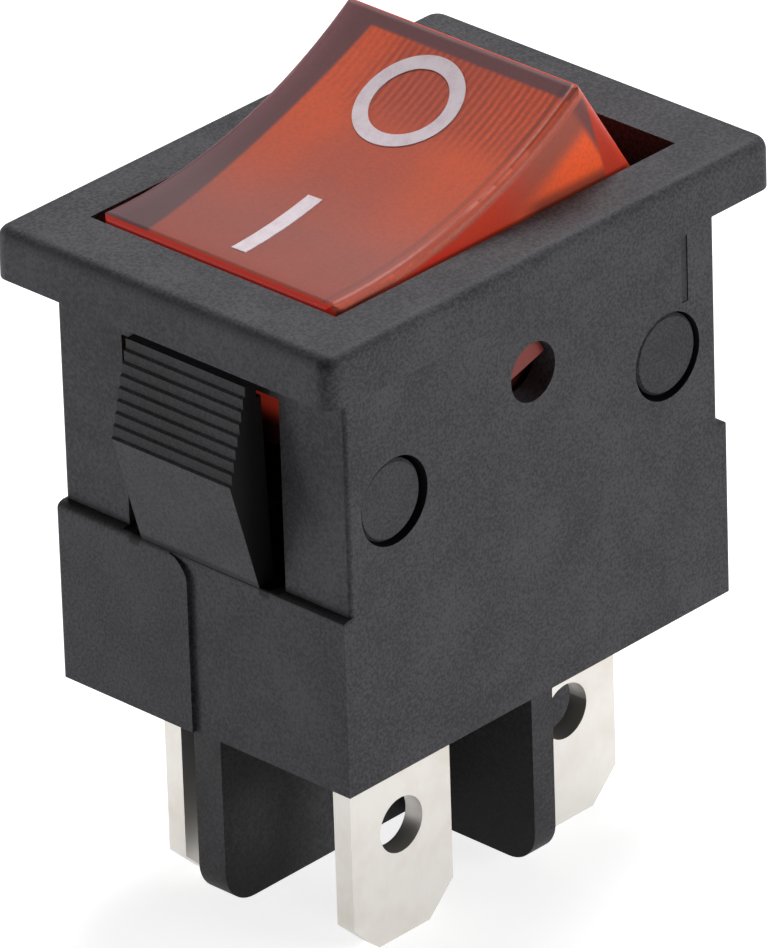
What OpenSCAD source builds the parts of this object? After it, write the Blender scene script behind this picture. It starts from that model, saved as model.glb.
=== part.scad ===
// Illuminated panel rocker switch, two-pole, for a 19.2 x 13 mm cut-out.
// +Z points out of the panel towards the user, +X towards the end marked O.
// The origin is the centre of the bezel's seating rim, so the panel's face is z = 0.
// The switch is drawn at rest with its I end pressed.

/* [Bezel] */
// Length of the bezel over the panel
bezel_l = 21; // [20.6:0.1:23]
// Width of the bezel over the panel
bezel_w = 15; // [14.4:0.1:17]
// Height of the bezel above the panel
bezel_t = 1.8; // [1.7:0.05:2.2]
// Radius of the bezel's corners seen from above
bezel_corner = 0.6; // [0.5:0.1:1.5]
// Radius of the bezel's top edge
bezel_round = 0.45; // [0.2:0.05:0.5]
// Length of the opening that the rocker moves in
opening_l = 16; // [15.9:0.1:16.2]
// Width of the opening that the rocker moves in
opening_w = 10.9; // [10.8:0.1:11.1]

/* [Housing] */
// Length of the body where it passes the panel
neck_l = 17.5; // [17.3:0.1:17.6]
// Length of the body below the end ledges
body_l = 18.5; // [18.2:0.1:18.7]
// Width of the body
body_w = 12.8; // [12.7:0.1:12.9]
// Depth of the housing below the panel's face
body_h = 14.9; // [14.7:0.1:15.5]
// Depth of the ledges on the end walls
ledge_z = 8.45; // [8.2:0.05:8.7]
// Diameter of the pivot holes
pivot_hole_d = 2.1; // [2.06:0.02:2.14]
// Diameter of the holes that the base's pegs snap into
peg_hole_d = 3.1; // [3:0.1:3.4]
// Distance of the peg holes from the pivot, towards the end marked I
peg_x = 6.6; // [6.4:0.1:6.7]

/* [Snap tabs] */
// Width of a snap tab
tab_w = 5.3; // [4.5:0.1:5.6]
// Width of the slot on each side of a tab
tab_slot = 0.85; // [0.5:0.05:0.95]
// Depth of a tab's top edge below the panel's face
tab_top = 1.1; // [1:0.1:1.3]
// Depth of a tab's outermost ridge
tab_ridge = 4.4; // [4:0.05:4.8]
// How far the ridge stands out from the end wall
tab_reach = 1.5; // [1.2:0.05:1.8]
// Number of gripping steps above the ridge
tab_steps = 8; // [4:1:9]

/* [Rocker] */
// Tilt of the rocker either side of level
tilt = 16; // [14:0.5:16]
// Depth of the pivot below the panel's face
pivot_z = 3.05; // [3:0.05:3.2]
// Diameter of the trunnions
trunnion_d = 2; // [1.94:0.02:2.04]
// Half the length of the cap's top
cap_half = 6.15; // [5.8:0.05:6.2]
// Height of the cap's top corners above the pivot
cap_h = 7.02; // [6.7:0.02:7.1]
// How far the top is dished below its corners
cap_dish = 1; // [0.6:0.05:1.2]
// Width of the cap
cap_w = 10.4; // [10.3:0.05:10.5]
// Radius of the cap's top edges
cap_round = 0.3; // [0.15:0.05:0.4]
// Wall of the cap
cap_wall = 1; // [0.9:0.05:1.1]
// Spacing of the light-spreading flutes inside the cap
flute_pitch = 0.3; // [0.3:0.1:1]

/* [Terminals] */
// Width of a blade
blade_w = 4.7; // [4.6:0.1:4.9]
// Thickness of a blade
blade_t = 0.75; // [0.7:0.05:0.8]
// Depth of the blades' tips below the panel's face
blade_tip_z = 21.6; // [21.3:0.1:23]
// Diameter of the hole in a blade
blade_hole_d = 2; // [1.6:0.1:2]
// Distance of the hole from the blade's tip
blade_hole_up = 4.1; // [3.8:0.1:4.3]
// Centre of the common blades, along the switch
common_x = -5.95; // [-6.1:0.05:-5.9]
// Centre of the load blades, along the switch
load_x = 3.05; // [2.9:0.05:3.1]

/* [Barrier] */
// Depth of the cross-shaped barrier between the blades
barrier_z = 21.2; // [19:0.1:21.2]
// Thickness of the barrier's long web
barrier_t = 1.2; // [1:0.1:1.3]
// Thickness of the barrier's cross web
cross_t = 1; // [0.8:0.1:1]

/* [Contacts] */
// Distance of each contact bridge from the middle, across the switch
pole_y = 3.7; // [3.65:0.05:3.75]
// Distance of each plunger from the middle, across the switch
plunger_y = 3.5; // [3.45:0.05:3.55]
// Diameter of a plunger
plunger_d = 1.6; // [1.4:0.1:1.6]
// Tilt of the contact bridges either side of level
bridge_tilt = 8; // [6:0.5:8]
// Diameter of the silver contacts
contact_d = 1.8; // [1.4:0.1:1.8]

/* [Hidden] */
$fn = 96;
eps = 0.01;

// Housing
cavity_l = opening_l;
cavity_w = opening_w;
neck_x = neck_l / 2;
end_x = body_l / 2;
ledge_round = 0.4;
rim_inset = 0.75;         // width of the seating rim under the bezel
relief = 0.15;            // depth of the relief inside that rim
body_corner = 0.15;
pocket_x = 8.6;           // pocket for the base's floor
pocket_y = 5.95;
pocket_h = 2.5;
pad_t = 0.15;             // the end walls are thinner on one half
pad_edge = 0.5;
pad_round = 0.8;
pad_top = ledge_z + pad_round + 0.15;
window_top = 1.5;
window_bottom = ledge_z + 0.05;
tab_foot = ledge_z + 0.35; // where a tab's ramp meets the body

// Rocker, in its own frame: origin on the pivot, z out of the switch
cap_r = (cap_half * cap_half + cap_dish * cap_dish) / (2 * cap_dish);
dish_z = cap_h - cap_dish + cap_r;
skirt_z = 1.2;
skirt_x = cap_half + 1.45;
skirt_top = cap_h - (skirt_x - cap_half) / tan(tilt);
// centre of the round edge between an end wall and the dished top, and where it ends
end_reach = cap_half * cos(tilt) + cap_h * sin(tilt);
edge_up = dish_z * cos(tilt)
    - sqrt(pow(cap_r + cap_round, 2) - pow(end_reach - cap_round - dish_z * sin(tilt), 2));
end_normal = [cos(tilt), sin(tilt)];
edge_c = (end_reach - cap_round) * end_normal + edge_up * [-sin(tilt), cos(tilt)];
edge_wall = edge_c + cap_round * end_normal;
edge_top = edge_c + cap_round * ([0, dish_z] - edge_c) / norm([0, dish_z] - edge_c);
ear_r = 2.2;
cap_corner = 0.5;
web_x = 0.8;
web_top = 1;
web_bottom = -2.6;
tube_d = 2.6;
tube_bottom = -3.4;
tube_roof = 0.4;
lamp_z = 2.9;
lamp_d = 3;
lamp_x0 = -3.4;
lamp_x1 = 4.2;
lead_d = 0.4;
lead_y = 1.6;
resistor_y = 2.9;
resistor_d = 1.8;
trunnion_l = 6;

// Plungers and contact bridges
tip_r = plunger_d / 2;
tip_centre = 5.3;         // from the pivot to the centre of a plunger's tip
plunger_top = -2.1;
bridge_z = -(pivot_z + 6.95);  // hinge line of the bridges
bridge_w = 2;
bridge_t = 0.6;
saddle_r = 2.05 + tip_r;  // the saddle that a plunger's tip rides in
saddle_z = 3.65;
fulcrum_r = 0.4;
arm_z = 1;                // underside of the bridge's arms above its hinge
contact_x = 4;
contact_h = 0.4;
fixed_top_z = -10;

// Terminals
common_a_y = -5.6;
common_b_y = 2;
floor_top = -(body_h - 1.6);
common_pad_z = floor_top + blade_t;
load_pad_z = fixed_top_z - 0.4;
blade_shoulder = 1.1;     // height of the cut corners at a blade's tip
blade_tip_w = 2.4;
bend_r = 0.8;

// Base
floor_x = 8.55;
floor_y = 5.9;
wall_out = 5.35;
wall_in = 4.9;
post_x0 = 3.4;
post_x1 = 7.85;
post_top = -4.3;
mid_wall_top = -7.2;
partition_top = -7.4;
peg_z = 5.05;
peg_face = 6.28;
peg_gap = 0.13;
peg_chamfer = 0.1;
peg_lean = 0.07;          // the pegs press outwards in their holes
hole_x = [-peg_x, peg_x - 0.2];
mark_x = 7.3;             // a shallow mould mark above a peg

// ---------------------------------------------------------------- helpers

// Rectangle with round corners, centred on the origin
module rounded_rect(l, w, r) {
    square([l - 2 * r, w], center = true);
    square([l, w - 2 * r], center = true);
    for (sx = [-1, 1], sy = [-1, 1])
        translate([sx * (l / 2 - r), sy * (w / 2 - r)]) circle(r = r, $fn = 48);
}

// Extrudes a profile drawn in X and Z symmetrically about y = 0
module extrude_y(w) {
    rotate([90, 0, 0]) translate([0, 0, -w / 2]) linear_extrude(w) children();
}

// Puts a piece drawn in the rocker's own frame where it is at rest
module in_rocker() {
    translate([0, 0, -pivot_z]) rotate([0, -tilt, 0]) children();
}

// Puts a piece drawn in a bridge's own frame where it is at rest
module in_bridge(y) {
    translate([0, y, bridge_z]) rotate([0, bridge_tilt, 0]) children();
}

// A box given by its two corners
module box(low, high) {
    translate(low) cube(high - low);
}

// Section of the bezel's rim, from the corner's centre outwards
module rim_section() {
    square([bezel_corner, bezel_t - bezel_round]);
    square([bezel_corner - bezel_round, bezel_t]);
    translate([bezel_corner - bezel_round, bezel_t - bezel_round])
        intersection() {
            circle(r = bezel_round, $fn = 48);
            square(bezel_round);
        }
}

// ---------------------------------------------------------------- housing

module bezel() {
    lx = bezel_l / 2 - bezel_corner;
    ly = bezel_w / 2 - bezel_corner;
    box([-lx, -ly, 0], [lx, ly, bezel_t]);
    for (sx = [0, 1]) mirror([sx, 0, 0]) {
        translate([lx, ly, 0]) rotate([90, 0, 0]) linear_extrude(2 * ly) rim_section();
        for (sy = [0, 1]) mirror([0, sy, 0])
            translate([lx, ly, 0]) rotate_extrude($fn = 48) rim_section();
    }
    for (sy = [0, 1]) mirror([0, sy, 0])
        translate([-lx, ly, 0]) rotate([90, 0, 90]) linear_extrude(2 * lx) rim_section();
}

// Side view of the body below its ledges, whose outer edges are round
module body_side_profile() {
    inner = end_x - ledge_round;
    translate([-end_x, -body_h]) square([body_l, body_h - ledge_z - ledge_round]);
    translate([-inner, -body_h]) square([2 * inner, body_h - ledge_z]);
    for (s = [-1, 1]) translate([s * inner, -ledge_z - ledge_round])
        circle(r = ledge_round);
}

// Outer form of the body, with the ledge across each end wall
module body_block() {
    translate([0, 0, -body_h]) linear_extrude(body_h + bezel_t / 2)
        rounded_rect(neck_l, body_w, body_corner);
    intersection() {
        translate([0, 0, -body_h]) linear_extrude(body_h)
            rounded_rect(body_l, body_w, body_corner);
        extrude_y(body_w + 2)
            body_side_profile();
    }
}

// One half of each end wall is set back by the thickness of the pad
module end_wall_setback() {
    for (turn = [0, 180]) rotate([0, 0, turn]) {
        box([-end_x - 1, -body_w / 2 - 1, -body_h - 1],
            [-end_x + pad_t, pad_edge, -pad_top]);
        box([-end_x - 1, -body_w / 2 - 1, -pad_top - 0.1],
            [-end_x + pad_t, pad_edge + pad_round, -ledge_z + 0.1]);
    }
}

// The rounded inner corner of the pad
module pad_corner() {
    for (turn = [0, 180]) rotate([0, 0, turn])
        translate([-end_x, pad_edge + pad_round, -pad_top]) rotate([0, 90, 0])
            cylinder(r = pad_round, h = 1);
}

// Side view of one snap tab, on the +X end. Its lip stands in front of the wall
module tab_profile() {
    top_x = neck_x + 0.65;
    step_h = (tab_ridge - tab_top) / tab_steps;
    step_x = (neck_x + tab_reach - top_x) / tab_steps;
    root_x = end_x - pad_t - 0.1;
    polygon(concat(
        [[neck_x + 0.15, -tab_top], [top_x, -tab_top]],
        [for (i = [0 : tab_steps - 1], end = [0, 1])
            [top_x + (i + end) * step_x, -tab_top - (i + 1 - 0.15 * (1 - end)) * step_h]],
        [[root_x, -tab_foot], [root_x, -tab_foot - 0.5], [neck_x - 0.35, -tab_foot - 0.5],
         [neck_x - 0.3, -window_bottom + 0.6], [neck_x - 0.05, -window_top - 0.15],
         [neck_x + 0.15, -window_top - 0.15]]));
}

// The hollow that is cored out of a tab's back so that it moulds without sinking
module tab_core() {
    polygon([[neck_x - 1, -window_top - 0.8], [neck_x + 0.3, -window_top - 1],
             [neck_x + tab_reach - 0.75, -tab_ridge], [neck_x + 0.1, -window_bottom + 1.2],
             [neck_x - 1, -window_bottom + 1]]);
}

module snap_tab() {
    difference() {
        extrude_y(tab_w) tab_profile();
        extrude_y(tab_w - 1.9) tab_core();
    }
}

module housing() {
    color([0.17, 0.17, 0.18]) {
        difference() {
            union() {
                bezel();
                body_block();
            }
            // relief under the bezel, which leaves the seating rim
            difference() {
                box([-bezel_l / 2 + rim_inset, -bezel_w / 2 + rim_inset, -eps],
                    [bezel_l / 2 - rim_inset, bezel_w / 2 - rim_inset, relief]);
                translate([0, 0, -1]) linear_extrude(relief + 2)
                    rounded_rect(neck_l, body_w, body_corner);
            }
            // the rocker's well, and the pocket for the base's floor
            box([-cavity_l / 2, -cavity_w / 2, -body_h - 1],
                [cavity_l / 2, cavity_w / 2, bezel_t + 1]);
            box([-pocket_x, -pocket_y, -body_h - 1],
                [pocket_x, pocket_y, -body_h + pocket_h]);
            // windows for the snap tabs
            box([-neck_x - 1, -tab_w / 2 - tab_slot, -window_bottom],
                [neck_x + 1, tab_w / 2 + tab_slot, -window_top]);
            difference() {
                end_wall_setback();
                pad_corner();
            }
            // pivot holes and peg holes
            translate([0, 0, -pivot_z]) rotate([90, 0, 0])
                cylinder(d = pivot_hole_d, h = body_w + 2, center = true);
            for (x = hole_x) translate([x, 0, -peg_z]) rotate([90, 0, 0])
                cylinder(d = peg_hole_d, h = body_w + 2, center = true);
            // shallow mould marks
            for (turn = [0, 180]) rotate([0, 0, turn])
                box([mark_x - 0.15, -body_w / 2 - 1, -3.4],
                    [mark_x + 0.15, -body_w / 2 + 0.04, -1]);
        }
        for (turn = [0, 180]) rotate([0, 0, turn]) snap_tab();
    }
}

// ---------------------------------------------------------------- base

// A peg with a bevelled face, along +Y
module snap_peg() {
    r = peg_hole_d / 2 - peg_gap;
    rotate([-90, 0, 0]) {
        translate([0, 0, wall_out - 0.05])
            cylinder(r = r, h = peg_face - peg_chamfer - wall_out + 0.05);
        translate([0, 0, peg_face - peg_chamfer])
            cylinder(r1 = r, r2 = r - peg_chamfer, h = peg_chamfer);
    }
}

// A web of the barrier with its lower corners rounded, along X
module barrier_web(half_l, r) {
    top = -body_h;
    translate([-half_l, -barrier_z + r]) square([2 * half_l, barrier_z - r + top]);
    translate([-half_l + r, -barrier_z]) square([2 * (half_l - r), r + 1]);
    for (s = [-1, 1]) translate([s * (half_l - r), -barrier_z + r]) circle(r = r);
}

// Slots in the floor for one pole's blades
module blade_slots(y, common_y) {
    gap = 0.05;
    load_y = y - bridge_w / 2 + 0.1;
    // a slot close to the side wall is open to it
    slot_y = common_y - gap < 1 - floor_y ? -floor_y - 1 : common_y - gap;
    box([-floor_x - 1, slot_y, -body_h - 1],
        [common_x + blade_w / 2 + gap, common_y + blade_t + gap, floor_top + 1]);
    box([load_x - blade_w / 2 - gap, load_y - gap, -body_h - 1],
        [load_x + blade_w / 2 + gap, load_y + blade_t + gap, floor_top + 1]);
    // room for the common pad beside the floor
    box([-floor_x - 1, common_y - gap, floor_top],
        [common_x + blade_w / 2 + gap, y + bridge_w / 2 + 0.1, common_pad_z + gap]);
}

module base() {
    color([0.15, 0.15, 0.16]) difference() {
        union() {
            box([-floor_x, -floor_y, -body_h], [floor_x, floor_y, floor_top]);
            extrude_y(barrier_t) barrier_web(end_x - pad_t, 1.3);
            rotate([0, 0, 90]) extrude_y(cross_t) barrier_web(body_w / 2, 1.2);
            box([-post_x1, -barrier_t / 2, floor_top - 1], [post_x1, barrier_t / 2, partition_top]);
            for (sy = [0, 1]) mirror([0, sy, 0]) {
                box([-post_x1, wall_in, floor_top - 1], [post_x1, wall_out, mid_wall_top]);
                for (sx = [0, 1]) mirror([sx, 0, 0])
                    box([post_x0, wall_in, floor_top - 1], [post_x1, wall_out, post_top]);
                for (x = hole_x) translate([x + sign(x) * peg_lean, 0, -peg_z]) snap_peg();
            }
            // seats under the load contacts' pads
            for (y = [-pole_y, pole_y])
                box([load_x - 1, y - bridge_w / 2, floor_top - 1],
                    [load_x + blade_w / 2, y + bridge_w / 2, load_pad_z - blade_t]);
        }
        blade_slots(-pole_y, common_a_y);
        blade_slots(pole_y, common_b_y);
        // the risers of the load terminals stand in the seats
        for (y = [-pole_y, pole_y])
            box([load_x - blade_w / 2 - 0.05, y - bridge_w / 2 + 0.05, floor_top],
                [load_x + blade_w / 2 + 0.05, y - bridge_w / 2 + 0.95, load_pad_z]);
    }
}

// ---------------------------------------------------------------- rocker

// Side view of the cap under a level top, with round top corners
module cap_side_profile() {
    half = [edge_top, edge_wall, [skirt_x, skirt_top], [skirt_x, skirt_z], [3.6, skirt_z],
            [2.1, -0.7]];
    polygon(concat(half, [for (i = [len(half) - 1 : -1 : 0]) [-half[i].x, half[i].y]]));
    for (s = [-1, 1]) translate([s * edge_c.x, edge_c.y]) circle(r = cap_round, $fn = 48);
    circle(r = ear_r);
}

// Everything outside the dish, with round edges along both long sides
module dish_ring() {
    half = cap_w / 2;
    translate([0, 0, dish_z]) rotate([90, 0, 0]) rotate_extrude($fn = 360)
        translate([cap_r, 0]) {
            translate([cap_round, -half]) square([12, cap_w]);
            translate([0, cap_round - half]) square([1, cap_w - 2 * cap_round]);
            for (s = [-1, 1]) translate([cap_round, s * (half - cap_round)])
                circle(r = cap_round, $fn = 48);
        }
}

// The cap's hollow, whose roof lies a given thickness under the dished top
module cap_hollow(roof) {
    inset = cap_wall / cos(tilt);
    low_x = cap_half + (cap_h + 5) * tan(tilt) - inset;
    difference() {
        polygon([[-cap_half + inset, cap_h], [cap_half - inset, cap_h],
                 [low_x, -5], [-low_x, -5]]);
        translate([0, dish_z]) circle(r = cap_r + roof, $fn = 360);
    }
}

// A long bar with round edges that lies along one end face of the cap
module cap_end_trim() {
    translate([cap_half, 0, cap_h]) rotate([0, -tilt, 0])
        translate([-20, 0, -12]) linear_extrude(20) rounded_rect(40, cap_w, cap_corner);
}

module cap_shell() {
    difference() {
        intersection() {
            extrude_y(cap_w) cap_side_profile();
            dish_ring();
            cap_end_trim();
            mirror([1, 0, 0]) cap_end_trim();
        }
        extrude_y(cap_w - 2 * cap_wall) cap_hollow(cap_wall);
        // flutes in the roof, towards the end marked O
        intersection() {
            for (y = [-3.75 : flute_pitch : 3.76]) translate([0, y, 0])
                extrude_y(flute_pitch / 2) cap_hollow(cap_wall - 0.2);
            box([1.5, -cap_w, 2], [cap_half, cap_w, cap_h]);
        }
    }
}

// A trunnion, bevelled below so that it springs past the housing's wall
module trunnion() {
    difference() {
        translate([0, cap_w / 2 - 0.5, 0]) rotate([-90, 0, 0])
            cylinder(d = trunnion_d, h = trunnion_l - cap_w / 2 + 0.5);
        translate([0, trunnion_l, 0]) rotate([-45, 0, 0])
            box([-2, 0, -3], [2, 3, 3]);
    }
}

// The web that carries the two plunger tubes and the lamp's cradle
module carrier_web() {
    side = cap_w / 2 - cap_wall / 2;
    difference() {
        union() {
            box([-web_x, -side, web_bottom], [web_x, side, web_top]);
            box([-web_x, -1.25, web_top - 0.5], [web_x, 1.25, lamp_z - 0.6]);
            for (y = [-plunger_y, plunger_y]) translate([0, y, tube_bottom])
                cylinder(d = tube_d, h = web_top - tube_bottom);
        }
        translate([-web_x - 1, 0, lamp_z]) rotate([0, 90, 0])
            cylinder(d = lamp_d + 0.02, h = 2 * web_x + 2);
        for (y = [-lead_y, lead_y]) translate([0, y, web_bottom - 1])
            cylinder(d = lead_d + 0.1, h = web_top - web_bottom + 2, $fn = 32);
    }
}

module rocker() {
    color([0.82, 0.26, 0.15]) in_rocker() {
        difference() {
            union() {
                cap_shell();
                carrier_web();
            }
            for (y = [-plunger_y, plunger_y]) translate([0, y, tube_bottom - 1])
                cylinder(d = plunger_d + 0.1, h = tube_roof - tube_bottom + 1);
        }
        for (sy = [0, 1]) mirror([0, sy, 0]) trunnion();
    }
}

// ---------------------------------------------------------------- lamp

// A neon lamp: a glass tube with a round nose and a pinched, sealed foot
module lamp() {
    color([0.95, 0.85, 0.75]) in_rocker() translate([0, 0, lamp_z]) {
        rotate([0, 90, 0]) translate([0, 0, lamp_x0 + lamp_d / 2])
            cylinder(d = lamp_d, h = lamp_x1 - lamp_x0 - lamp_d);
        translate([lamp_x0 + lamp_d / 2, 0, 0]) sphere(d = lamp_d);
        translate([lamp_x1 - lamp_d / 2, 0, 0]) rotate([0, 90, 0])
            cylinder(d1 = lamp_d, d2 = 2, h = lamp_d / 2 - 0.5);
        box([lamp_x1 - 1, -0.95, -0.5], [lamp_x1, 0.95, 0.5]);
    }
}

// A resistor with the usual thicker ends
module lamp_resistor() {
    color([0.75, 0.62, 0.45]) in_rocker() translate([-0.4, resistor_y, lamp_z])
        rotate([0, 90, 0]) {
            cylinder(d = resistor_d - 0.3, h = 3.8);
            for (z = [0, 2.8]) translate([0, 0, z]) cylinder(d = resistor_d, h = 1);
        }
}

// A wire through a list of points, round at its bends
module wire(points) {
    for (i = [0 : len(points) - 2]) {
        run = points[i + 1] - points[i];
        reach = norm(run);
        translate(points[i]) rotate([0, acos(run.z / reach), atan2(run.y, run.x)])
            cylinder(d = lead_d, h = reach, $fn = 24);
        if (i > 0) translate(points[i]) sphere(d = lead_d, $fn = 24);
    }
}

module lamp_lead_a() {
    color([0.8, 0.78, 0.72]) in_rocker()
        wire([[lamp_x1 + 0.1, -0.5, lamp_z], [lamp_x1 + 0.7, -1.9, lamp_z - 0.8],
              [0, -lead_y, lamp_z - 1.4], [0, -lead_y, web_bottom]]);
}

module lamp_lead_b() {
    color([0.8, 0.78, 0.72]) in_rocker()
        wire([[-0.4, resistor_y, lamp_z], [-1.2, resistor_y, lamp_z],
              [-1.2, 2, lamp_z - 1.2], [0, lead_y, lamp_z - 1.4],
              [0, lead_y, web_bottom]]);
}

module lamp_link() {
    color([0.8, 0.78, 0.72]) in_rocker()
        wire([[lamp_x1, 0.5, lamp_z], [lamp_x1 + 0.6, 0.5, lamp_z],
              [lamp_x1 + 0.6, resistor_y, lamp_z], [3.4, resistor_y, lamp_z]]);
}

// ---------------------------------------------------------------- springs

// How far along its axis a spring's wire has climbed after a share u of its turns.
// One turn at each end lies closed.
function climb(u, turns, wire, len) =
    let (t = u * turns, open = turns - 2, lift = (len - 2 * wire) / open)
    t < 1 ? t * wire
    : t < turns - 1 ? wire + (t - 1) * lift
    : len - (turns - t) * wire;

// A coil spring from the point foot to the point head, as one swept wire
module coil_spring(foot, head, coil_d, wire, turns) {
    sides = 6;
    per_turn = 14;
    n = turns * per_turn;
    axis = head - foot;
    lean = atan2(axis.x, axis.z);
    len = norm(axis) - wire;
    rings = [for (i = [0 : n], j = [0 : sides - 1])
        let (a = 360 * i / per_turn, b = 360 * j / sides,
             r = (coil_d + wire * cos(b)) / 2,
             h = climb(i / n, turns, wire, len) + wire * (1 + sin(b)) / 2)
        [r * cos(a), r * sin(a), h]];
    faces = concat(
        [[for (j = [0 : sides - 1]) j]],
        [for (i = [0 : n - 1], j = [0 : sides - 1])
            let (k = (j + 1) % sides)
            [i * sides + j, (i + 1) * sides + j, (i + 1) * sides + k, i * sides + k]],
        [[for (j = [sides - 1 : -1 : 0]) n * sides + j]]);
    translate(foot) rotate([0, lean, 0]) polyhedron(rings, faces);
}

// The lamp's springs stand on the load terminals and press on the rocker's web
function web_foot() = [sin(tilt) * -web_bottom, 0, -pivot_z + cos(tilt) * web_bottom];

module lamp_spring(y) {
    color([0.78, 0.78, 0.8])
        coil_spring([0, y, load_pad_z + eps], web_foot() + [0, y, -0.1], 1.1, 0.2, 8);
}
module lamp_spring_a() { lamp_spring(-lead_y); }
module lamp_spring_b() { lamp_spring(lead_y); }

module plunger_spring(y) {
    color([0.78, 0.78, 0.8]) in_rocker()
        coil_spring([0, y, plunger_top + eps], [0, y, tube_roof - eps], 1.2, 0.2, 5);
}
module plunger_spring_a() { plunger_spring(-plunger_y); }
module plunger_spring_b() { plunger_spring(plunger_y); }

// ---------------------------------------------------------------- contacts

module plunger(y) {
    color([0.72, 0.72, 0.74]) in_rocker() translate([0, y, -tip_centre]) {
        sphere(d = plunger_d);
        cylinder(d = plunger_d, h = tip_centre + plunger_top);
    }
}
module plunger_a() { plunger(-plunger_y); }
module plunger_b() { plunger(plunger_y); }

// Side view of a bridge: a saddle in the middle and two flat arms
module bridge_profile() {
    arm_out = contact_x + 1.1;
    rise = saddle_z - arm_z;                     // from the saddle's centre to the arms
    outer = saddle_r + bridge_t;
    difference() {
        union() {
            intersection() {
                translate([0, saddle_z]) circle(r = outer);
                translate([-2.2, 0]) square([4.4, arm_z + bridge_t]);
            }
            translate([-arm_out + 1.5, arm_z]) square([2 * arm_out - 1.5, bridge_t]);
        }
        translate([0, saddle_z]) circle(r = saddle_r);
        circle(r = fulcrum_r + 0.05);
    }
}

module bridge(y) {
    color([0.78, 0.5, 0.3]) in_bridge(y) difference() {
        extrude_y(bridge_w) bridge_profile();
        translate([contact_x, 0, arm_z - 1]) cylinder(d = 0.9, h = 3, $fn = 32);
    }
}
module bridge_a() { bridge(-pole_y); }
module bridge_b() { bridge(pole_y); }

// A domed silver contact riveted through the bridge's arm
module moving_contact(y) {
    color([0.85, 0.85, 0.86]) in_bridge(y) translate([contact_x, 0, arm_z]) {
        intersection() {
            translate([0, 0, -contact_h]) cylinder(d = contact_d, h = contact_h);
            translate([0, 0, 2 - contact_h]) sphere(r = 2);
        }
        cylinder(d = 0.9, h = bridge_t, $fn = 32);
        translate([0, 0, bridge_t]) cylinder(d = 1.3, h = 0.2);
    }
}
module moving_contact_a() { moving_contact(-pole_y); }
module moving_contact_b() { moving_contact(pole_y); }

module fixed_contact(y) {
    color([0.85, 0.85, 0.86]) translate([contact_x + 0.3, y, load_pad_z])
        cylinder(d = contact_d + 0.1, h = fixed_top_z - load_pad_z - 0.02);
}
module fixed_contact_a() { fixed_contact(-pole_y); }
module fixed_contact_b() { fixed_contact(pole_y); }

// ---------------------------------------------------------------- terminals

// Outline of a blade in X and Z, with its cut corners and its hole
module blade_outline(x, top) {
    difference() {
        polygon([[x - blade_w / 2, top], [x - blade_w / 2, -blade_tip_z + blade_shoulder],
                 [x - blade_tip_w / 2, -blade_tip_z], [x + blade_tip_w / 2, -blade_tip_z],
                 [x + blade_w / 2, -blade_tip_z + blade_shoulder], [x + blade_w / 2, top]]);
        translate([x, -blade_tip_z + blade_hole_up]) circle(d = blade_hole_d);
    }
}

// Side view, in Y and Z, of a strip folded from a blade at y0 to a pad that ends at y1
module fold(y0, y1, pad_top) {
    r = bend_r;
    translate([y0, -blade_tip_z]) square([blade_t, blade_tip_z + pad_top - r]);
    translate([y0 + r, pad_top - blade_t]) square([y1 - y0 - r, blade_t]);
    intersection() {
        translate([y0 + r, pad_top - r]) circle(r = r);
        translate([y0, pad_top - r]) square(r);
    }
}

// A folded strip of blade width, cut to the blade's outline
module folded_blade(x, y0, y1, pad_top) {
    intersection() {
        translate([x - blade_w / 2, 0, 0]) rotate([90, 0, 90])
            linear_extrude(blade_w) fold(y0, y1, pad_top);
        extrude_y(3 * body_w) blade_outline(x, pad_top);
    }
}

// The common terminal: its pad runs under the bridge and ends in the fulcrum
module terminal_common(y, y0) {
    y1 = y + bridge_w / 2;
    color([0.83, 0.81, 0.77]) {
        folded_blade(common_x, y0, y1, common_pad_z);
        box([common_x, y1 - bridge_w, floor_top], [fulcrum_r, y1, common_pad_z]);
        box([-fulcrum_r, y1 - bridge_w, floor_top], [fulcrum_r, y1, bridge_z]);
        translate([0, y, bridge_z]) rotate([90, 0, 0])
            cylinder(r = fulcrum_r, h = bridge_w, center = true);
    }
}
module terminal_common_a() { terminal_common(-pole_y, common_a_y); }
module terminal_common_b() { terminal_common(pole_y, common_b_y); }

// The load terminal: its pad carries the fixed contact, and a tongue feeds the lamp's spring
module terminal_load(y, inward) {
    y0 = y - bridge_w / 2 + 0.1;
    y1 = y + bridge_w / 2;
    tongue_y = -inward * lead_y;
    low = load_pad_z - blade_t;
    color([0.83, 0.81, 0.77]) difference() {
        union() {
            folded_blade(load_x, y0, y1, load_pad_z);
            box([-0.8, tongue_y - 0.7, low], [2.4, tongue_y + 0.7, load_pad_z]);
            box([1.2, min(tongue_y, y), low], [2.4, max(tongue_y, y), load_pad_z]);
        }
        // the pad is narrower than the blade, clear of the fulcrum
        box([load_x - blade_w, y0 - 1, load_pad_z - 2], [1.2, y1 + 1, load_pad_z + 1]);
        box([load_x - blade_w, y0 - 1, floor_top + 0.4], [1.2, y1 + 1, load_pad_z]);
    }
    color([0.83, 0.81, 0.77])
        box([-0.8, tongue_y - 0.7, low], [1.3, tongue_y + 0.7, load_pad_z]);
}
module terminal_load_a() { terminal_load(-pole_y, 1); }
module terminal_load_b() { terminal_load(pole_y, -1); }

// ---------------------------------------------------------------- parts

housing();
base();
rocker();
lamp();
lamp_resistor();
lamp_lead_a();
lamp_lead_b();
lamp_link();
lamp_spring_a();
lamp_spring_b();
plunger_a();
plunger_b();
plunger_spring_a();
plunger_spring_b();
bridge_a();
bridge_b();
moving_contact_a();
moving_contact_b();
fixed_contact_a();
fixed_contact_b();
terminal_common_a();
terminal_common_b();
terminal_load_a();
terminal_load_b();
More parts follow.
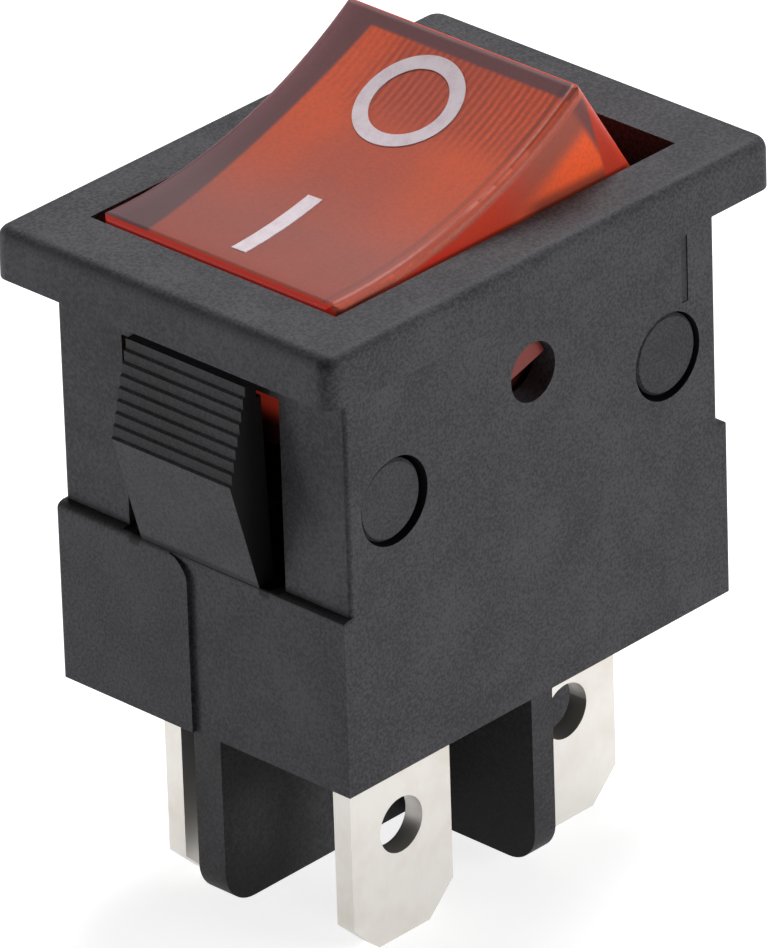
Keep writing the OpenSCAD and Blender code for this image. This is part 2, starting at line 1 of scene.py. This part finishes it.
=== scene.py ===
# %% [markdown]
# # Illuminated panel rocker switch
# A small mains switch that snaps into a cut-out in a metal or plastic panel.
# The moving and load-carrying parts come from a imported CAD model. This notebook
# lights them, gives each one a finish, and adds the two printed marks.

import math

import bpy
from mathutils import Matrix, Vector


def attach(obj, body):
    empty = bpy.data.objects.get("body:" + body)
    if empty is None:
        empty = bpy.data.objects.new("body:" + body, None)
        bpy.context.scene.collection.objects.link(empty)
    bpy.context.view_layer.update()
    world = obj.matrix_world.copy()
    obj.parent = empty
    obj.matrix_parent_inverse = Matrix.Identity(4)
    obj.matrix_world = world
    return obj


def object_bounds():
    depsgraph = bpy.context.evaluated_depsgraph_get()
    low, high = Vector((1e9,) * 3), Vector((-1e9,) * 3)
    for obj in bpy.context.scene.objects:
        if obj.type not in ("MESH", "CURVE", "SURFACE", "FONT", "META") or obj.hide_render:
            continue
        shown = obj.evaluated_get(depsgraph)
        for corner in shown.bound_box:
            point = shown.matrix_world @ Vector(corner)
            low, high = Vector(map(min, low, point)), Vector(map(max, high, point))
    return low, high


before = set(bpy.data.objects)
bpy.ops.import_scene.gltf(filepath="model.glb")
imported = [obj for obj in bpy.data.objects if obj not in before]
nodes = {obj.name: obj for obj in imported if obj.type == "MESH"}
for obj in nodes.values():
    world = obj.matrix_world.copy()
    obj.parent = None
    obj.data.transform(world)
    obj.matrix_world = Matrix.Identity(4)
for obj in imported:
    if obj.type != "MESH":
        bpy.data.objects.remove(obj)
cad_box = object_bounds()
bpy.ops.object.select_all(action="DESELECT")
MM = 0.001
print(len(nodes), "CAD nodes, box", [[round(c / MM, 2) for c in corner] for corner in cad_box])

# %% [markdown]
# ## Camera
# A long lens from far away keeps the edges of so small a thing nearly parallel.
# The camera's axes are worked out from how far round, how high and how tilted it is.

# %% Camera
AZIMUTH = math.radians(45.86)
ELEVATION = math.radians(28.06)
ROLL = math.radians(-1.90)
DISTANCE = 400.57 * MM
LENS_MM = 575.3
SENSOR_MM = 36
AIM_SIDE = -0.31 * MM
AIM_UP = -1.731 * MM
AIM_DEPTH = -7 * MM

backward = Vector((-math.sin(AZIMUTH) * math.cos(ELEVATION),
                   -math.cos(AZIMUTH) * math.cos(ELEVATION), math.sin(ELEVATION)))
side = Vector((0, 0, 1)).cross(backward).normalized()
upward = backward.cross(side)
aim = side * AIM_SIDE + upward * AIM_UP + Vector((0, 0, AIM_DEPTH))
turned_side = math.cos(ROLL) * side + math.sin(ROLL) * upward
turned_up = math.cos(ROLL) * upward - math.sin(ROLL) * side
bpy.ops.object.camera_add(location=aim + backward * DISTANCE)
camera = bpy.context.object
camera.name = "camera"
axes = Matrix((turned_side, turned_up, backward)).transposed()
camera.rotation_euler = axes.to_euler()
camera.data.sensor_fit = "HORIZONTAL"
camera.data.sensor_width = SENSOR_MM
camera.data.lens = LENS_MM
camera.data.clip_start = 0.01
bpy.context.scene.camera = camera
print("camera at", [round(c, 4) for c in camera.location])

# %% [markdown]
# ## Writing finishes
# A finish is a material made of shader nodes. Two small classes keep the recipes
# short. Finish adds any node with one method, and Wire wraps what comes out of a
# node, so that sums can be written as sums.


# %% Wire and Finish
class Wire:
    """What comes out of a shader node. Sums on it add Math nodes."""

    def __init__(self, finish, socket):
        self.finish = finish
        self.socket = socket

    def math(self, operation, *others):
        return self.finish.math(operation, self, *others)

    def __add__(self, other):
        return self.math("ADD", other)

    def __sub__(self, other):
        return self.math("SUBTRACT", other)

    def __rsub__(self, other):
        return self.finish.math("SUBTRACT", other, self)

    def __mul__(self, other):
        return self.math("MULTIPLY", other)

    def __abs__(self):
        return self.math("ABSOLUTE")

    __radd__ = __add__
    __rmul__ = __mul__


class Finish:
    """A material under construction."""

    def __init__(self, name):
        self.material = bpy.data.materials.new(name)
        self.material.use_nodes = True
        self.tree = self.material.node_tree
        self.shader = self.tree.nodes["Principled BSDF"]

    def node(self, kind, settings=None, inputs=None, output=0):
        made = self.tree.nodes.new("ShaderNode" + kind)
        for key, value in (settings or {}).items():
            if key == "stops":
                ramp = made.color_ramp.elements
                while len(ramp) < len(value):
                    ramp.new(1)
                for element, (place, colour) in zip(ramp, value):
                    element.position = place
                    element.color = (*colour, 1)
            else:
                setattr(made, key, value)
        for key, value in (inputs or {}).items():
            self.plug(made.inputs[key], value)
        return Wire(self, made.outputs[output])

    def math(self, operation, *values):
        return self.node("Math", {"operation": operation}, dict(enumerate(values)))

    def plug(self, socket, value):
        if isinstance(value, Wire):
            self.tree.links.new(value.socket, socket)
        else:
            socket.default_value = value

    def set(self, **inputs):
        for key, value in inputs.items():
            self.plug(self.shader.inputs[key.replace("_", " ")], value)
        return self

    def place(self):
        return self.node("TexCoord", output="Object")

    def noise(self, place, size, detail=3, roughness=0.6):
        return self.node("TexNoise", inputs={"Vector": place, "Scale": 1 / size,
                                             "Detail": detail, "Roughness": roughness})

    def step(self, value, low, high):
        """0 below low, 1 above high, and a smooth rise between."""
        return self.node("MapRange", {"interpolation_type": "SMOOTHSTEP"},
                         {"Value": value, "From Min": low, "From Max": high})

    def mix(self, factor, first, second, blend="MIX"):
        return self.node("Mix", {"data_type": "RGBA", "blend_type": blend},
                         {0: factor, 6: first, 7: second}, output=2)

    def bump(self, height, depth, strength=1.0):
        return self.node("Bump", inputs={"Height": height, "Distance": depth,
                                         "Strength": strength})

    def split(self, place):
        return [self.node("SeparateXYZ", inputs={0: place}, output=i) for i in range(3)]


def shade(red, green, blue):
    """A colour given from 0 to 255, as a linear colour for a shader."""
    def linear(c):
        c /= 255
        return c / 12.92 if c <= 0.04045 else ((c + 0.055) / 1.055) ** 2.4
    return (linear(red), linear(green), linear(blue), 1)


def dress(names, finish):
    for name in names:
        slots = nodes[name].data.materials
        slots.clear()
        slots.append(finish.material)
    print(finish.material.name, "on", ", ".join(names))


# %% [markdown]
# ## Black nylon
# The housing and the base are moulded in a glass-filled nylon. Its skin is matte,
# with a fine grain that the mould leaves, and the glass shows as faint grey specks.
# Three noises of different sizes give the grain, the specks and a slow unevenness.
# The rim's edges, the corner above each ledge, the flanks and steps of the snap tabs,
# the mould marks and the gaps round the pegs hold less light, so a mask made from the
# distance to them paints shade there by taking the tone down.


# %% Black nylon
def black_nylon(name, dark, pale, painted_shade=None):
    finish = Finish(name)
    place = finish.place()
    grain = finish.noise(place, 0.11 * MM, detail=4)
    specks = finish.noise(place, 0.035 * MM, detail=2)
    cloud = finish.noise(place, 2.5 * MM, detail=2)
    tone = finish.step(grain * 0.65 + specks * 0.15 + cloud * 0.2, 0.38, 0.62)
    colour = finish.mix(tone, dark, pale)
    if painted_shade:
        # painted shade: the tone drops to a deep grey where the housing holds less light
        colour = finish.mix(painted_shade(finish, place), colour, DEEP)
    finish.set(Base_Color=colour, Roughness=0.52 + grain * 0.2,
               Normal=finish.bump(grain + specks * 0.5, 0.012 * MM, 0.6))
    finish.shader.inputs["Specular IOR Level"].default_value = 0.2
    return finish


RIM_HALF = 10.5 * MM
RIM_SIDE = 7.5 * MM
LEDGE_Z = -8.45 * MM
NECK_HALF = 8.75 * MM
TAB_HALF = 2.65 * MM
TAB_FOOT = -8.8 * MM
TAB_RIDGE = -4.4 * MM
SIDE_HALF = 6.4 * MM
PEG_HOLE = (6.5 * MM, -5.05 * MM)
PEG_HOLE_RADIUS = 1.55 * MM
MOULD_MARK_X = 7.3 * MM
MOULD_MARK_Z = -2.2 * MM
DEEP = shade(22, 21, 23)


def painted_shade_of_housing(finish, place):
    """1 where shade is painted on the housing, which holds no light there: beside the tabs, round
    the pegs, in corners.
    """
    x, y, z = finish.split(place)
    out = abs(x)
    rim = finish.step(out, RIM_HALF - 0.5 * MM, RIM_HALF - 0.1 * MM)
    rim = rim * finish.step(z, 1.25 * MM, 1.6 * MM) * 0.5
    long_rim = finish.step(abs(y), RIM_SIDE - 0.5 * MM, RIM_SIDE - 0.1 * MM)
    rim = rim.math("MAXIMUM", long_rim * finish.step(z, 1.5 * MM, 1.75 * MM) * 0.25)
    corner = finish.step(abs(z - LEDGE_Z), 0.22 * MM, 0.05 * MM)
    corner = corner * finish.step(out, NECK_HALF - 0.1 * MM, NECK_HALF + 0.02 * MM)
    tab = finish.step(z, TAB_FOOT, TAB_FOOT + 0.1 * MM) * finish.step(z, -0.9 * MM, -1.0 * MM)
    flank = tab * finish.step(abs(y), TAB_HALF - 0.03 * MM, TAB_HALF - 0.01 * MM)
    flank = flank * finish.step(abs(y), TAB_HALF + 0.5 * MM, TAB_HALF + 0.4 * MM)
    flank = flank * finish.step(out, 7.0 * MM, 7.2 * MM)
    steps = tab * finish.step(out, NECK_HALF - 0.02 * MM, NECK_HALF + 0.05 * MM)
    steps = steps * finish.step(abs(y), TAB_HALF, TAB_HALF - 0.02 * MM)
    steps = steps * finish.step(z, TAB_RIDGE - 0.05 * MM, TAB_RIDGE + 0.05 * MM)
    from_hole = ((out - PEG_HOLE[0]) * (out - PEG_HOLE[0])
                 + (z - PEG_HOLE[1]) * (z - PEG_HOLE[1])).math("SQRT")
    recessed = finish.step(abs(y), SIDE_HALF - 0.01 * MM, SIDE_HALF - 0.03 * MM)
    ring = finish.step(abs(from_hole - PEG_HOLE_RADIUS), 0.16 * MM, 0.12 * MM) * recessed
    mark = finish.step(abs(out - MOULD_MARK_X), 0.17 * MM, 0.14 * MM)
    mark = mark * finish.step(abs(z - MOULD_MARK_Z), 1.25 * MM, 1.2 * MM) * recessed
    soft = rim.math("MAXIMUM", corner * 0.7).math("MAXIMUM", steps * 0.55)
    soft = soft.math("MAXIMUM", mark * 0.45)
    return soft.math("MAXIMUM", flank.math("MAXIMUM", ring))


dress(["housing"], black_nylon("housing_nylon", shade(44, 43, 46), shade(78, 77, 81),
                              painted_shade_of_housing))
dress(["base"], black_nylon("base_nylon", shade(40, 39, 41), shade(70, 69, 72)))

# %% [markdown]
# ## Translucent red cap
# The cap is clear red polycarbonate, 1 mm thick, over a hollow with fine flutes in
# its roof. Where the wall is seen edge on the plastic looks purple grey, and over
# the hollow it glows orange. Tracing light through it would be slow and noisy, so
# the glow is painted by how far each point lies from the walls.
# The cap's own frame is turned by its tilt, so a Mapping node turns it back.

# %% The cap's own frame
TILT = math.radians(16)
PIVOT = Vector((0, 0, -3.05)) * MM
CAP_HALF = 6.15 * MM
CAP_HIGH = 7.02 * MM
CAP_DISH = 1.0 * MM
CAP_SIDE = 5.2 * MM
CAP_ROUND = 0.3 * MM
BEZEL_TOP = 1.8 * MM
FLUTE_PITCH = 0.29 * MM
DISH_RADIUS = (CAP_HALF ** 2 + CAP_DISH ** 2) / (2 * CAP_DISH)
DISH_CENTRE = CAP_HIGH - CAP_DISH + DISH_RADIUS
# height of the bezel's top in the cap's frame, where it meets the cap's middle
RIM_HIGH = (BEZEL_TOP - PIVOT.z) / math.cos(TILT)
cap_frame = Matrix.Translation(PIVOT) @ Matrix.Rotation(-TILT, 4, "Y")
print("dish radius", round(DISH_RADIUS / MM, 2), "mm")

# %% Where a point lies on the cap
cap = Finish("cap_polycarbonate")
cap_place = cap.node("Mapping", {"vector_type": "TEXTURE"},
                     {"Vector": cap.place(), "Location": PIVOT, "Rotation": (0, -TILT, 0)})
along, across, high = cap.split(cap_place)
below = DISH_CENTRE - high - (DISH_RADIUS ** 2 - along * along).math("SQRT")
cloud = cap.noise(cap_place, 3 * MM, detail=3)
grit = cap.noise(cap_place, 0.14 * MM, detail=3)
streak = cap.noise(cap.node("Mapping", inputs={"Vector": cap_place, "Scale": (0.12, 1, 1)}),
                   0.35 * MM, detail=3)
print("cap masks read its own frame, turned", round(math.degrees(TILT)), "degrees")

# %% Colours of the red plastic
GLOW = shade(190, 84, 56)
DULL = shade(154, 80, 68)
RIBS = shade(126, 62, 54)
EDGE = shade(94, 66, 68)
PALE = shade(106, 74, 78)
HOT = shade(236, 92, 46)
RED = shade(186, 56, 34)
BROWN = shade(154, 78, 62)
RED_GLOW = shade(200, 44, 30)
UNDER_BEZEL_SHADE = shade(60, 24, 22)
LOW_END = shade(150, 70, 58)
CREASE = shade(176, 70, 48)
SHEEN = shade(214, 160, 150)
ROUNDED_EDGE_HIGHLIGHT = shade(194, 94, 74)
SHADOW = shade(96, 44, 38)
WALL_MARGIN = shade(114, 66, 64)
END_CORNER_HIGHLIGHT = shade(156, 120, 120)
EAR = shade(128, 60, 54)
PAINTED_LIGHT_GAIN = (1.5, 1.5, 1.5, 1)
print("reds from", [round(c, 2) for c in RED[:3]], "to", [round(c, 2) for c in HOT[:3]])

# %% The dished top
lengthwise = cap.step(along, -4.5 * MM, 0.3 * MM)
sideways = cap.step(abs(across + 0.3 * MM), 0.8 * MM, 3.0 * MM)
glow = lengthwise * (sideways * 0.5 + 0.5) + cloud * 0.6 - 0.3
tone = cap.mix(glow, DULL, GLOW)
tone = cap.mix(streak * 0.35, tone, cap.mix(0.5, tone, RIBS))
uneven = cap.noise(cap_place, 0.5 * MM, detail=2)
flute = ((across + uneven * 0.12 * MM) * (2 * math.pi / FLUTE_PITCH)).math("SINE")
fluted = cap.step(along, 1.8 * MM, 3.4 * MM) * cap.step(below, 0.6 * MM, 0.2 * MM)
ribbed = fluted * (cap.step(across, 2.9 * MM, 1.8 * MM) * 0.7 + 0.3)
tone = cap.mix(ribbed * (flute * uneven * 0.6 + 0.45), tone, RIBS)
tone = cap.mix(cap.step(along, -5.3 * MM, -6.0 * MM) * 0.7, tone, LOW_END)
print("flutes every", round(FLUTE_PITCH / MM, 2), "mm")

# %% Margins of the top, over the solid walls
end_in = along - (CAP_HIGH - high) * math.tan(TILT)
far_wall = cap.step(across + (along - 1 * MM) * (along - 1 * MM) * (0.0155 / MM),
                    3.78 * MM, 3.98 * MM)
margin = cap.mix(cap.step(across, 4.2 * MM, 5.0 * MM), EDGE, PALE)
tone = cap.mix(far_wall, tone, margin)
tone = cap.mix(cap.step(end_in, 5.30 * MM, 5.46 * MM), tone, margin)
# painted light: the top is made brighter towards the raised end
raised_end_light = cap.step(along, -1.5 * MM, 4.5 * MM)
tone = cap.mix(raised_end_light, tone, PAINTED_LIGHT_GAIN, "MULTIPLY")

# %% Its near edge and walls
over = abs(across) - (CAP_SIDE - CAP_ROUND) + below
near = cap.step(across, -4.5 * MM, -4.6 * MM)
tone = cap.mix(near * cap.step(over, -0.45 * MM, -0.3 * MM)
               * cap.step(over, -0.1 * MM, -0.2 * MM) * 0.35, tone, EDGE)
tone = cap.mix(cap.step(abs(over - 0.07 * MM), 0.1 * MM, 0.03 * MM) * near, tone,
               CREASE)
# a painted highlight, broken up by the streaks, runs along the top of the near edge
edge_sheen = cap.step(abs(over + 0.02 * MM), 0.07 * MM, 0.02 * MM) * cap.step(along, 1.5 * MM, 3.2 * MM)
tone = cap.mix(edge_sheen * near * streak * 0.9, tone, SHEEN)
# the rounded edge below it gets a paler painted highlight
tone = cap.mix(cap.step(over, 0.15 * MM, 0.3 * MM) * near, tone, ROUNDED_EDGE_HIGHLIGHT)
wall = cap.step(over, 0.58 * MM, 0.74 * MM)
wall_tone = cap.mix(cap.step(along, 0.8 * MM, 4.0 * MM), RED, BROWN)
# the wall's lower part over the raised half gets a painted orange glow
hot = cap.step(below, 1.0 * MM, 1.9 * MM) * cap.step(along, 0.6 * MM, 5.2 * MM)
wall_tone = cap.mix(hot, wall_tone, HOT)
# height over the bezel beside the raised end, where the rim's shadow falls
low = high + along * math.tan(TILT) - RIM_HIGH
shaded = cap.step(low, 0.5 * MM, 0.05 * MM) * cap.step(along, 2.0 * MM, 3.2 * MM)
wall_tone = cap.mix(shaded * 0.75, wall_tone, SHADOW)
wall_tone = cap.mix(cap.step(end_in, 5.10 * MM, 5.42 * MM), wall_tone, WALL_MARGIN)
# a painted highlight runs down the rounded corner at the raised end
end_corner_highlight = cap.step(abs(end_in - 6.0 * MM), 0.16 * MM, 0.05 * MM) * 0.5
wall_tone = cap.mix(end_corner_highlight, wall_tone, END_CORNER_HIGHLIGHT)
# what lies under the bezel at either end of the rocker's travel stays dark, in painted shade, and
# a painted red glow line runs just above the bezel on the low side
over_rim = high + abs(along) * math.tan(TILT) - RIM_HIGH
above_low_rim = high - abs(along) * math.tan(TILT) - RIM_HIGH
rim_glow = cap.step(abs(above_low_rim - 0.075 * MM), 0.14 * MM, 0.05 * MM)
wall_tone = cap.mix(rim_glow * cap.step(along, 0.5 * MM, -1.5 * MM), wall_tone, RED_GLOW)
tone = cap.mix(wall, tone, wall_tone)
# the end faces are red, with a painted red glow near the top of the low end
ends = cap.step(abs(along), 6.0 * MM, 6.12 * MM)
low_end_glow = ends * cap.step(along, 0, -1 * MM) * cap.step(high, 6.3 * MM, 6.5 * MM)
tone = cap.mix(ends, tone, cap.mix(low_end_glow, RED, RED_GLOW))
tone = cap.mix(cap.step(grit, 0.4, 0.65) * 0.25, tone, cap.mix(0.6, tone, EDGE))
# painted shade on what is under the bezel, with the trunnion ends a dimmer red
trunnion = cap.step(abs(across), 5.3 * MM, 5.4 * MM)
hidden = cap.mix(trunnion, UNDER_BEZEL_SHADE, EAR)
tone = cap.mix(cap.step(over_rim, -0.1 * MM, -0.9 * MM), tone, hidden)
# the walls and the ends get a painted glow: a little emission in their own colour
painted_glow = wall.math("MAXIMUM", ends) * cap.step(over_rim, -0.9 * MM, -0.1 * MM)
cap.set(Base_Color=tone, Roughness=0.36 + grit * 0.16,
        Emission_Color=cap.mix(painted_glow, (0, 0, 0, 1), tone),
        Normal=cap.bump(grit, 0.01 * MM, 0.4))
cap.shader.inputs["Emission Strength"].default_value = 0.2
cap.shader.inputs["Specular IOR Level"].default_value = 0.16
cap.shader.inputs["Coat Weight"].default_value = 0.03
cap.shader.inputs["Coat Roughness"].default_value = 0.25
cap.shader.inputs["Subsurface Weight"].default_value = 0.15
cap.shader.inputs["Subsurface Radius"].default_value = (1.0, 0.35, 0.2)
cap.shader.inputs["Subsurface Scale"].default_value = 0.5 * MM
dress(["rocker"], cap)

# %% [markdown]
# ## Metals
# The blades are stamped from brass strip and plated. Rolling leaves long fine lines
# in the strip, and handling leaves soft cloudy stains in the plating.


# %% Plated strip, wire and contacts
def plated(name, clean, stained, roughness, grain_turn=(0.05, 1, 1)):
    finish = Finish(name)
    place = finish.place()
    lines = finish.noise(finish.node("Mapping", inputs={"Vector": place, "Scale": grain_turn}),
                         0.05 * MM, detail=4)
    stains = finish.noise(place, 2.2 * MM, detail=4)
    tone = finish.mix(finish.step(stains, 0.35, 0.85) * 0.7, clean, stained)
    tone = finish.mix(lines * 0.3, tone, finish.mix(0.4, tone, stained))
    finish.set(Base_Color=tone, Metallic=1.0, Roughness=roughness + lines * 0.15,
               Normal=finish.bump(lines, 0.004 * MM, 0.5))
    return finish


blades = [n for n in nodes if n.startswith("terminal")]
dress(blades, plated("plated_blade", shade(214, 211, 207), shade(196, 189, 178), 0.42,
                     (1, 1, 0.05)))
dress([n for n in nodes if "contact_" in n],
      plated("silver_contact", shade(236, 236, 238), shade(190, 186, 182), 0.25))
dress([n for n in nodes if n.startswith("bridge")],
      plated("copper_bridge", shade(214, 148, 112), shade(160, 100, 74), 0.3))
dress([n for n in nodes if "spring" in n],
      plated("spring_wire", shade(205, 205, 210), shade(150, 148, 148), 0.28))
dress(["plunger_a", "plunger_b"],
      plated("plunger_steel", shade(200, 200, 204), shade(150, 150, 154), 0.22))
dress(["lamp_lead_a", "lamp_lead_b", "lamp_link"],
      plated("tinned_wire", shade(214, 212, 206), shade(170, 166, 156), 0.35))

# %% [markdown]
# ## Lamp and resistor
# The lamp is a small glass tube, and the resistor in line with it is a lacquered
# ceramic rod. Both sit inside the cap and are seen only when it is taken apart.

# %% Glass and lacquer
glass = Finish("lamp_glass")
film = glass.noise(glass.place(), 0.8 * MM, detail=3)
glass.set(Base_Color=glass.mix(film * 0.4, shade(250, 236, 220), shade(236, 190, 150)),
          Roughness=0.05 + film * 0.1)
glass.shader.inputs["Transmission Weight"].default_value = 0.8
dress(["lamp"], glass)

lacquer = Finish("resistor_lacquer")
speck = lacquer.noise(lacquer.place(), 0.2 * MM, detail=3)
lacquer.set(Base_Color=lacquer.mix(speck * 0.5, shade(205, 178, 132), shade(170, 138, 96)),
            Roughness=0.3 + speck * 0.2)
dress(["lamp_resistor"], lacquer)

# %% [markdown]
# ## Printed marks
# An O and an I are pad printed on the dished top. Each starts as a flat ring or
# bar over the cap, is cut fine enough to bend, and drops on to the cap by a
# shrinkwrap. A solidify then gives the ink its thickness.
# The ink is a warm white that lets a little of the red through where it lies thin.

# %% Ink
ink = Finish("mark_ink")
ink_place = ink.place()
thin = ink.noise(ink_place, 0.5 * MM, detail=4)
fleck = ink.noise(ink_place, 0.06 * MM, detail=2)
ink.set(Base_Color=ink.mix(ink.step(thin * 0.6 + fleck * 0.4, 0.4, 0.75),
                           shade(216, 204, 210), shade(198, 178, 186)),
        Roughness=0.42 + fleck * 0.2, Normal=ink.bump(fleck, 0.006 * MM, 0.5))
INK_DEPTH = 0.03 * MM
ABOVE_CAP = 8 * MM
# the print sits a little askew on the cap
print_frame = (cap_frame @ Matrix.Translation((0, 0.07 * MM, 0))
               @ Matrix.Rotation(math.radians(2), 4, "Z"))


def lay_ink(mark, name):
    """Drops a flat mark, made in the cap's own frame, on to the cap."""
    mark.name = name
    mark.matrix_world = print_frame
    drop = mark.modifiers.new("drop", "SHRINKWRAP")
    drop.target = nodes["rocker"]
    drop.wrap_method = "PROJECT"
    drop.use_project_z = True
    drop.use_positive_direction = False
    drop.use_negative_direction = True
    bpy.ops.object.modifier_apply(modifier="drop")
    body = mark.modifiers.new("depth", "SOLIDIFY")
    body.thickness = INK_DEPTH
    body.offset = 1
    bpy.ops.object.modifier_apply(modifier="depth")
    bpy.ops.object.transform_apply(location=True, rotation=True, scale=True)
    bpy.ops.object.shade_smooth_by_angle(angle=math.radians(35))
    mark.data.materials.append(ink.material)
    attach(mark, "rocker")
    heights = [v.co.z / MM for v in mark.data.vertices]
    print(name, "from z", round(min(heights), 2), "to", round(max(heights), 2), "mm")


# %% The O
RING_X = 3.35 * MM
RING_INNER = 1.39 * MM
RING_OUTER = 1.93 * MM
RING_BANDS = 3
bpy.ops.object.select_all(action="DESELECT")
bpy.ops.mesh.primitive_circle_add(vertices=128, radius=RING_INNER, fill_type="NOTHING")
ring = bpy.context.object
bpy.ops.object.mode_set(mode="EDIT")
bpy.ops.mesh.select_all(action="SELECT")
width = (RING_OUTER - RING_INNER) / RING_BANDS
for band in range(RING_BANDS):
    bpy.ops.mesh.extrude_edges_move()
    grown = (RING_INNER + (band + 1) * width) / (RING_INNER + band * width)
    bpy.ops.transform.resize(value=(grown, grown, 1))
bpy.ops.mesh.select_all(action="SELECT")
bpy.ops.transform.translate(value=(RING_X, 0, ABOVE_CAP))
bpy.ops.mesh.normals_make_consistent(inside=False)
bpy.ops.object.mode_set(mode="OBJECT")
lay_ink(ring, "mark_o")

# %% The I
BAR_FROM = -5.25 * MM
BAR_TO = -1.55 * MM
BAR_WIDE = 0.6 * MM
bpy.ops.object.select_all(action="DESELECT")
bpy.ops.mesh.primitive_grid_add(x_subdivisions=48, y_subdivisions=6, size=1)
bar = bpy.context.object
bpy.ops.object.mode_set(mode="EDIT")
bpy.ops.mesh.select_all(action="SELECT")
bpy.ops.transform.resize(value=(BAR_TO - BAR_FROM, BAR_WIDE, 1))
bpy.ops.transform.translate(value=((BAR_FROM + BAR_TO) / 2, 0, ABOVE_CAP))
bpy.ops.object.mode_set(mode="OBJECT")
lay_ink(bar, "mark_i")

# %% [markdown]
# ## Floor and light
# The switch stands on white paper. The key lamp hangs behind it on the right, so
# the raised end of the cap shades the rim in front of it. A low lamp on the left
# draws the snap tab's shadow, and a low lamp on the right fills the long side. The
# paper lights every upright face from below.

# %% Floor
FLOOR_Z = cad_box[0][2]
bpy.ops.object.select_all(action="DESELECT")
bpy.ops.mesh.primitive_plane_add(size=4, location=(0, 0, FLOOR_Z))
floor = bpy.context.object
floor.name = "floor"
paper = Finish("white_paper")
seen = paper.node("LightPath", output="Is Camera Ray").math(
    "MAXIMUM", paper.node("LightPath", output="Is Glossy Ray"))
fibre = paper.noise(paper.place(), 3 * MM)
paper.set(Base_Color=paper.mix(fibre * 0.2, (0.52, 0.52, 0.52, 1), (0.5, 0.5, 0.5, 1)),
          Roughness=0.9,
          Emission_Color=paper.mix(seen, (0, 0, 0, 1), (0.8, 0.8, 0.8, 1)))
paper.shader.inputs["Emission Strength"].default_value = 1
floor.data.materials.append(paper.material)
print("paper at z", round(FLOOR_Z / MM, 2), "mm")


# %% Lamps
def softbox(name, place, size, power):
    """A square lamp at a place, turned to the switch."""
    bpy.ops.object.light_add(type="AREA", location=place)
    lamp = bpy.context.object
    lamp.name = name
    lamp.data.size = size
    lamp.data.energy = power
    lamp.rotation_euler = Vector(place).to_track_quat("Z", "Y").to_euler()
    print(name, power, "W")


softbox("key", (0.30, 0.17, 0.50), 0.30, 4.0)
softbox("left", (-0.27, 0.44, 0.02), 0.16, 2.0)
softbox("right", (0.18, -0.50, 0.10), 0.25, 1.7)

world = bpy.data.worlds.new("studio")
bpy.context.scene.world = world
world.use_nodes = True
sky = world.node_tree.nodes["Background"]
sky.inputs["Color"].default_value = (1, 1, 1, 1)
sky.inputs["Strength"].default_value = 0.05
bpy.context.scene.view_settings.view_transform = "Standard"
